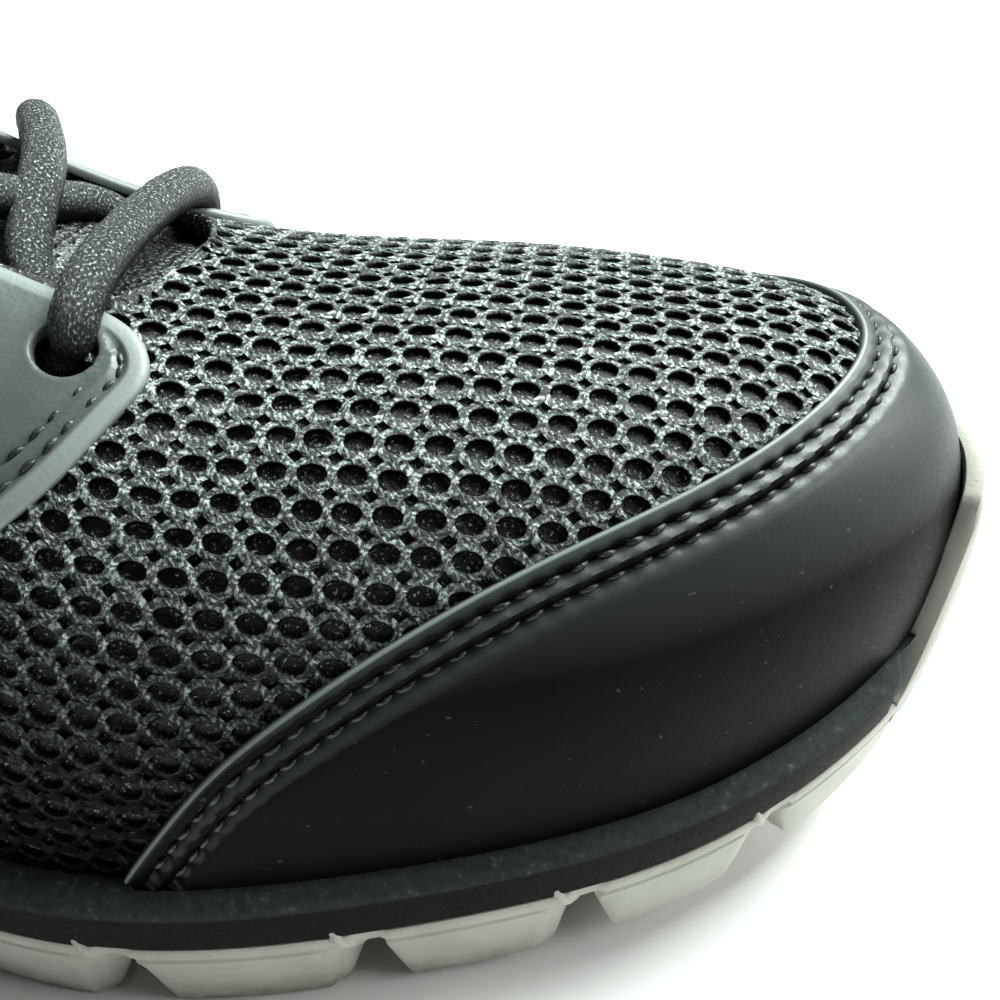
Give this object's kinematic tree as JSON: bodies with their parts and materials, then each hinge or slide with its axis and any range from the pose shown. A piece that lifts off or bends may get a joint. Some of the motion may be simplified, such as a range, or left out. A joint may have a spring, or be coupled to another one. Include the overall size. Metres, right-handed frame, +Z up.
{
  "type": "safety sneaker",
  "caption": "Low safety sneaker for the right foot: mesh upper with a toe guard and pierced eyestays on a lugged two-layer sole, with its laces tied in a bow.",
  "frame": {"origin": "middle of the shoe's length and width at the floor that the sole stands on", "axes": "+X along the foot to the toe, +Y to the inner side of the right foot, +Z up"},
  "size_m": [0.301, 0.1099, 0.1329],
  "materials": {
    "light_foam": "matt light grey moulded foam rubber, dusty",
    "dark_foam": "matt near-black moulded foam",
    "lining": "black knitted lining",
    "air_mesh": "charcoal open mesh over a black backing",
    "synthetic_leather": "satin charcoal synthetic leather",
    "moulded_film": "smooth satin grey film",
    "lace": "dark grey woven lace with light flecks"
  },
  "bodies": {
    "root": {"outsole": "light_foam", "midsole": "dark_foam", "insole": "lining", "upper": "air_mesh", "toe_guard": "synthetic_leather", "eyestay_outer": "moulded_film", "eyestay_inner": "moulded_film", "tongue": "air_mesh", "lace_bar": "lace", "lace_crossings": "lace", "lace_knot": "lace", "lace_loop_outer": "lace", "lace_loop_inner": "lace", "lace_end_outer": "lace", "lace_end_inner": "lace"}
  },
  "joints": []
}
